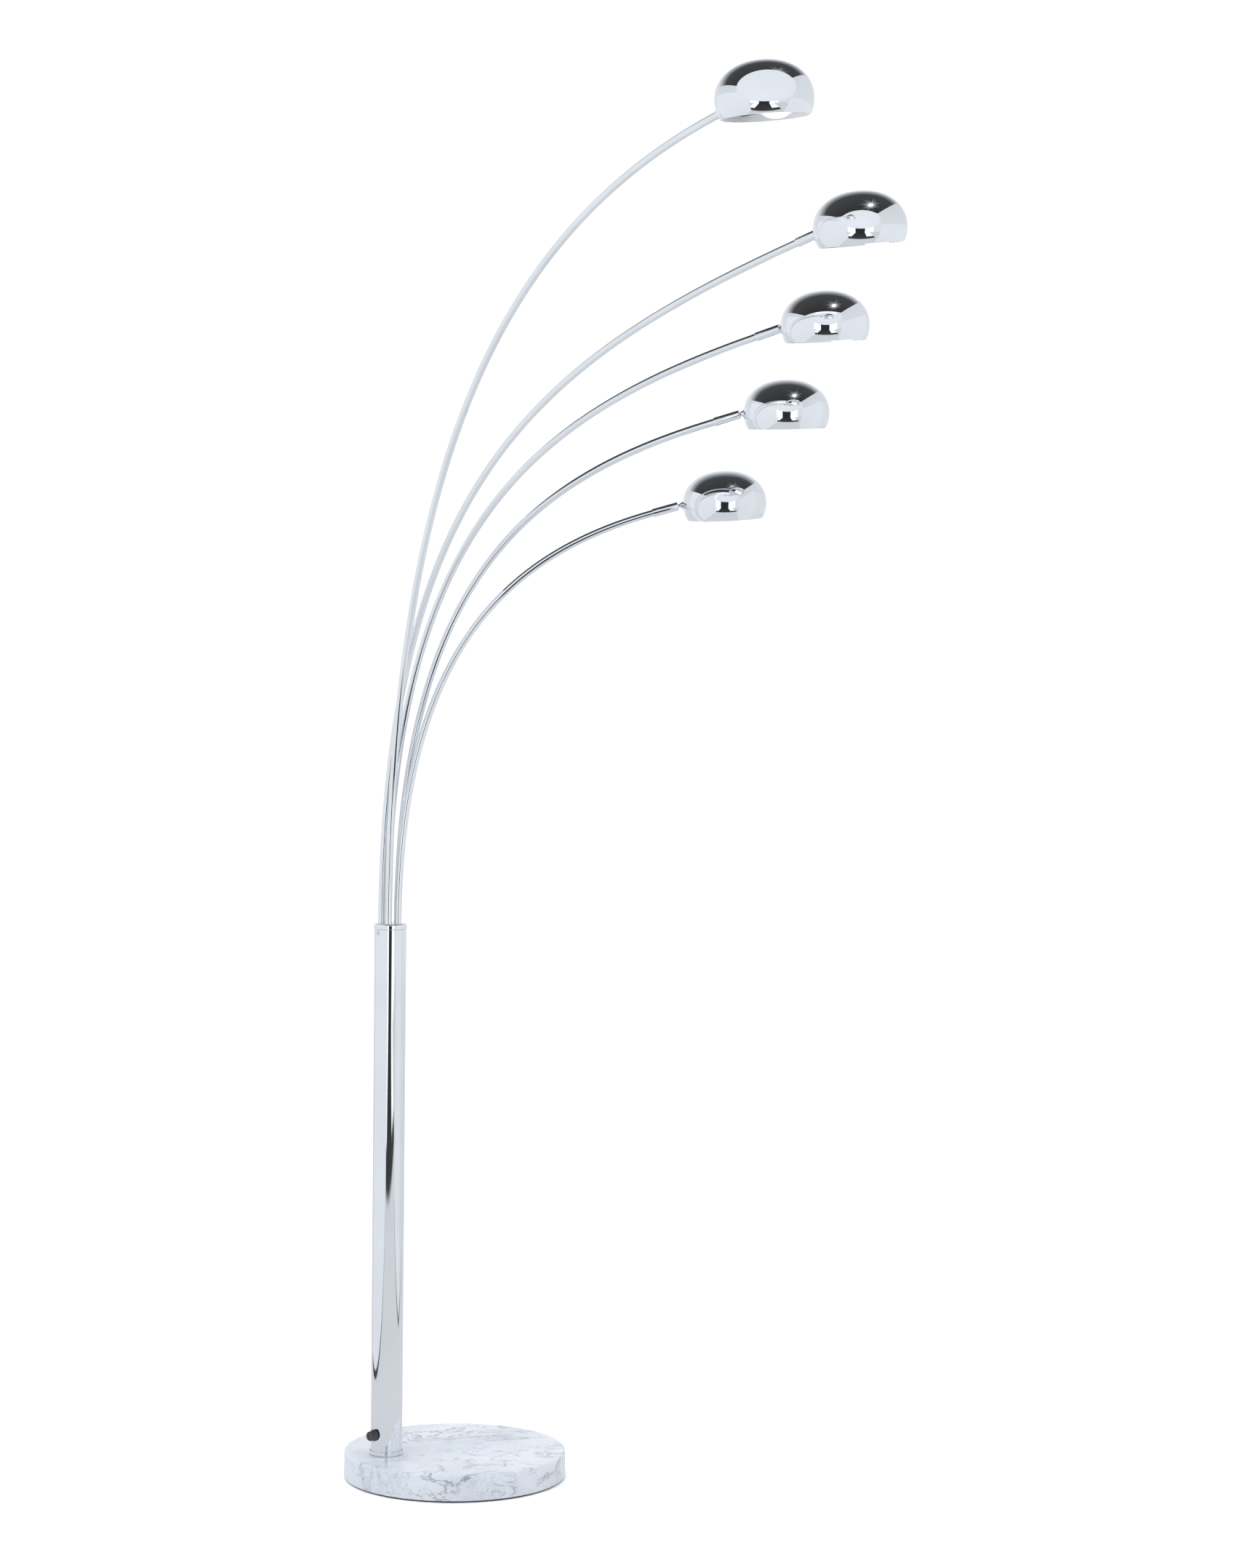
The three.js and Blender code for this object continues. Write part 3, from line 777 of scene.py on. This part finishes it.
def studio_floor():
    """A plain white floor, just under the lamp's pad."""
    size, level = 40, -0.0004
    ends = [(-size, -size), (size, -size), (size, size), (-size, size)]
    mesh = new_mesh("studio_floor", [Vector((x, y, level)) for x, y in ends], [(0, 1, 2, 3)])
    floor = bpy.data.objects.new("studio_floor", mesh)
    bpy.context.scene.collection.objects.link(floor)
    s = Shader("studio_white")
    s.fixed(Roughness=0.9, Specular_IOR_Level=0.1)
    s.link(s.ramp(s.noise(3), (0.3, 0.93), (0.7, 0.96)), s.bsdf.inputs["Base Color"])
    mesh.materials.append(s.material)


def glow(name, near, far):
    """A cool soft light, which changes from one side of its card to the other."""
    s = Shader(name)
    s.tree.nodes.remove(s.bsdf)
    along = s.node("ShaderNodeSeparateXYZ")
    s.link(s.node("ShaderNodeTexCoord").outputs["UV"], along.inputs["Vector"])
    emission = s.node("ShaderNodeEmission")
    cool_white = (0.93, 0.97, 1.02)
    cool = [tuple(c * level for c in cool_white) for level in (near, far)]
    s.link(s.ramp(along.outputs["Y"], (0.0, cool[0]), (1.0, cool[1])), emission.inputs["Color"])
    s.link(emission.outputs["Emission"], s.tree.nodes["Material Output"].inputs["Surface"])
    return s.material


def reflected(name, corners, faces, shares, near, far):
    """A part of the studio that shows only in reflections. Its light runs from near,
    at the corners whose share is 0, to far, at those whose share is 1."""
    mesh = new_mesh(name, [STUDIO @ Vector(c) for c in corners], faces)
    layer = mesh.uv_layers.new(name="across")
    for spot, loop in zip(layer.data, mesh.loops):
        spot.uv = (0, shares[loop.vertex_index])
    mesh.materials.append(glow(name, near, far))
    made = bpy.data.objects.new(name, mesh)
    bpy.context.scene.collection.objects.link(made)
    made.visible_camera = False
    made.visible_diffuse = False
    made.visible_shadow = False
    made.visible_transmission = False


def wall(name, x0, y0, x1, y1, low, high, near, far=None):
    """An upright card, from one floor point to another. Its light changes with height."""
    corners = [(x0, y0, low), (x1, y1, low), (x1, y1, high), (x0, y0, high)]
    reflected(name, corners, [(0, 1, 2, 3)], (0, 0, 1, 1), near, near if far is None else far)


def level_card(name, x0, x1, near_y, far_y, z, near, far=None):
    """A level card, whose light changes with its distance from the camera."""
    corners = [(x0, near_y, z), (x1, near_y, z), (x1, far_y, z), (x0, far_y, z)]
    reflected(name, corners, [(0, 1, 2, 3)], (0, 0, 1, 1), near, near if far is None else far)


def star(name, centre, radii, near, far, depth=1.0, slope=0.0):
    """A card round a centre, whose edge runs through the radii in turn, eight times
    over. Depth stretches it away from the camera, and it climbs that way by the slope."""
    ring = list(radii) * 8
    corners = [centre]
    shares = [0]
    for i, radius in enumerate(ring):
        a = 2 * math.pi * i / len(ring)
        dx, dy = radius * math.cos(a), radius * math.sin(a) * depth
        corners.append((centre[0] + dx, centre[1] + dy, centre[2] + dy * slope))
        shares.append(radius / max(radii))
    faces = [(0, 1 + i, 1 + (i + 1) % len(ring)) for i in range(len(ring))]
    reflected(name, corners, faces, shares, near, far)


def flat(name, x0, y0, x1, y1, height, near, far):
    """A pale board that stands on the floor beside the lamp. The dim strip of card under it is painted shade, for
    the shadow in the gap beneath the board.
    """
    gap = 0.02
    wall(name, x0, y0, x1, y1, gap, height, near, far)
    # Painted shade: a dim strip that stands in for the shadow under the board.
    wall(f"{name}_gap", x0, y0, x1, y1, 0.003, gap, 0.04)


def studio_walls():
    """Pale walls and floor, a dark ceiling that lightens towards the back, and a bright
    wall where the camera stands. A dark doorway in it runs on over the floor to a dark bar."""
    front, back, left, right, top = -5.6, 12.0, -8.8, 5.6, 7.1
    # Half the widths of the door, the dark bar and the bright wall, about one middle line.
    middle, door, bar, bright = 0.37, 1.05, 2.05, 3.1
    door_top, bar_start, bar_end, bar_fade = 2.8, -3.35, -2.75, 0.2
    white, dark = 1.25, 0.03
    behind = front - 0.1
    wall("wall_front_left", left, front, middle - bright, front, 0, top, 0.88, 0.94)
    wall("wall_middle_left", middle - bright, front, middle - door, front, 0, top, white)
    wall("wall_over_door", middle - door, front, middle + door, front, door_top, top, white)
    wall("wall_middle_right", middle + door, front, middle + bright, front, 0, top, white)
    wall("wall_front_right", middle + bright, front, right, front, 0, top, 0.88, 0.94)
    wall("wall_doorway", middle - door, behind, middle + door, behind, 0, top, dark)
    wall("wall_left", left, front, left, back, 0, top, 0.90, 0.80)
    wall("wall_right", right, front, right, back, 0, top, 0.88, 0.80)
    wall("wall_back", left, back, right, back, 0, top, 0.95, 0.85)
    dark_end, pale_start = 3.2, 8.2
    level_card("ceiling_front", left, right, front, dark_end, top, 0.035, 0.07)
    level_card("ceiling_middle", left, right, dark_end, pale_start, top, 0.07, 0.6)
    level_card("ceiling_back", left, right, pale_start, back, top, 0.6, 0.85)
    # The cards of the floor lie one over another, 1 mm apart.
    floor_start, x0, x1 = front - 0.2, middle - bar, middle + bar
    level_card("pale_floor", left, right, floor_start, back, 0.001, 0.74, 0.84)
    level_card("bright_floor_left", x0, middle - door, floor_start, bar_start, 0.003, white)
    level_card("bright_floor_right", middle + door, x1, floor_start, bar_start, 0.003, white)
    level_card("dark_floor", x0, x1, floor_start, bar_end, 0.002, dark, 0.05)
    level_card("dark_floor_edge", x0, x1, bar_end, bar_end + bar_fade, 0.002, 0.05, 0.70)
    flat("flat_left", -0.75, -2.6, -0.75, 0.5, 2.3, 0.90, 0.96)
    flat("flat_right", 1.9, -1.8, 1.2, 0.02, 2.0, 0.88, 0.94)
    flat("flat_back_right", 1.2, 0.02, 1.75, 0.9, 2.0, 0.80, 0.90)
    star("top_reflector", (0.62, -1.53, 2.015), [0.8] * 8, 1.0, 0.95, depth=0.66, slope=0.567)
    lamp = (1.5, -1.4, 4.9)
    star("ceiling_lamp", lamp, [0.2] * 4, 9.0, 3.0, depth=1.7)
    # The rays round the lamp are a glowing star of card and no lamp: a painted starburst glint, which the chrome
    # shows round the lamp's reflection.
    star("painted_starburst_glint", lamp, [1.3, 0.15, 0.75, 0.15, 1.0, 0.15], 1.7, 0.07, depth=1.7)


def soft_light(name, place, target, size, power):
    """A square light for the lamp and the floor, which shows in no reflection."""
    data = bpy.data.lights.new(name, "AREA")
    data.shape = "SQUARE"
    data.size = size
    data.energy = power
    light = bpy.data.objects.new(name, data)
    bpy.context.scene.collection.objects.link(light)
    light.location = STUDIO @ Vector(place)
    aim = STUDIO @ Vector(target) - light.location
    light.rotation_euler = aim.to_track_quat("-Z", "Y").to_euler()
    light.visible_glossy = False
    light.visible_camera = False


def camera():
    """Level, at 1.40 m, with the frame slid down; it leans by nearly half a degree, as
    the photographer's did."""
    data = bpy.data.cameras.new("camera")
    data.sensor_width = 36
    data.lens = 82.8
    data.shift_y = -0.123
    made = bpy.data.objects.new("camera", data)
    bpy.context.scene.collection.objects.link(made)
    place = Matrix.Translation((0.3692, -5.68, 1.404))
    level = Matrix.Rotation(math.pi / 2, 4, "X")
    lean = Matrix.Rotation(math.radians(0.45), 4, "Z")
    made.matrix_world = STUDIO @ place @ level @ lean
    bpy.context.scene.camera = made


studio_world()
studio_floor()
studio_walls()
soft_light("key_light", (-2.6, -2.6, 3.4), (0.1, 0, 0.3), size=2.2, power=35)
soft_light("floor_bounce", (0.6, -0.6, 0.06), (0.6, -0.6, 2), size=1.8, power=22)
soft_light("top_light", (0.1, 0.1, 3.6), (0.1, 0.1, 0), size=2.0, power=40)
camera()
bpy.context.scene.view_settings.view_transform = "Standard"
